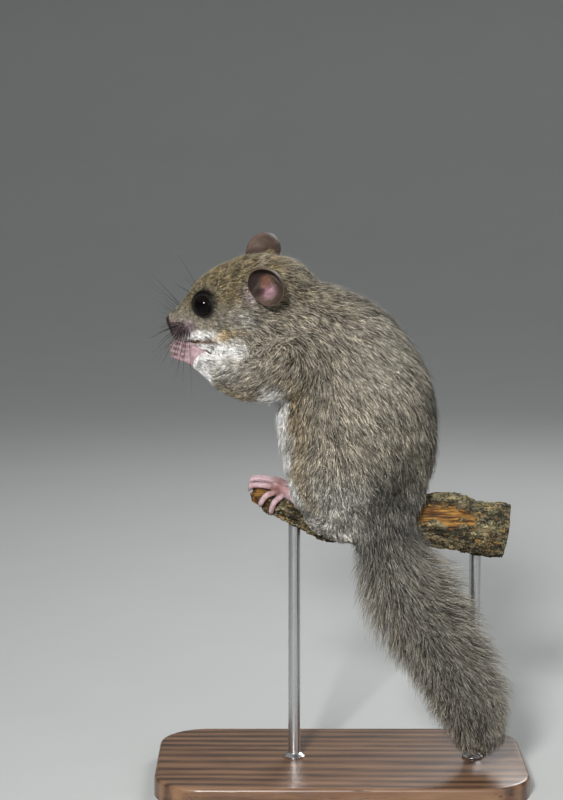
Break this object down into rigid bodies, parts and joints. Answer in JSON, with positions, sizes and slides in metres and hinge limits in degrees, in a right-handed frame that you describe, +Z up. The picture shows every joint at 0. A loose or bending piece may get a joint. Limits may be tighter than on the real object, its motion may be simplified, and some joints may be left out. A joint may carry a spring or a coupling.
{
  "type": "edible dormouse",
  "caption": "Still life-size model of an edible dormouse sitting on a cut branch, hands at its mouth and bushy tail hanging, on a plain display stand.",
  "frame": {"origin": "middle of the underside of the stand's base", "axes": "+Z up, the animal faces -X, its left side is towards -Y"},
  "size_m": [0.15, 0.084, 0.2217],
  "materials": {
    "fur": "dense soft grey-brown coat with pale tips, white on throat and belly",
    "tail_fur": "long soft grey hair, parted along the tail",
    "ear_skin": "thin skin, dark outside and pink inside",
    "paw_skin": "bare pink skin with fine creases",
    "eye": "polished black",
    "bark": "rough bark with stripped patches of bare wood",
    "base_wood": "dark stained wood, satin",
    "steel": "satin"
  },
  "bodies": {
    "root": {"head": "fur", "neck": "fur", "torso": "fur", "arm_left": "fur", "arm_right": "fur", "leg_left": "fur", "leg_right": "fur", "tail": "tail_fur", "ear_left": "ear_skin", "ear_right": "ear_skin", "hand_left": "paw_skin", "hand_right": "paw_skin", "foot_left": "paw_skin", "foot_right": "paw_skin", "eye_left": "eye", "eye_right": "eye", "perch": "bark", "stand_base": "base_wood", "stand_rod_front": "steel", "stand_rod_rear": "steel"}
  },
  "joints": []
}
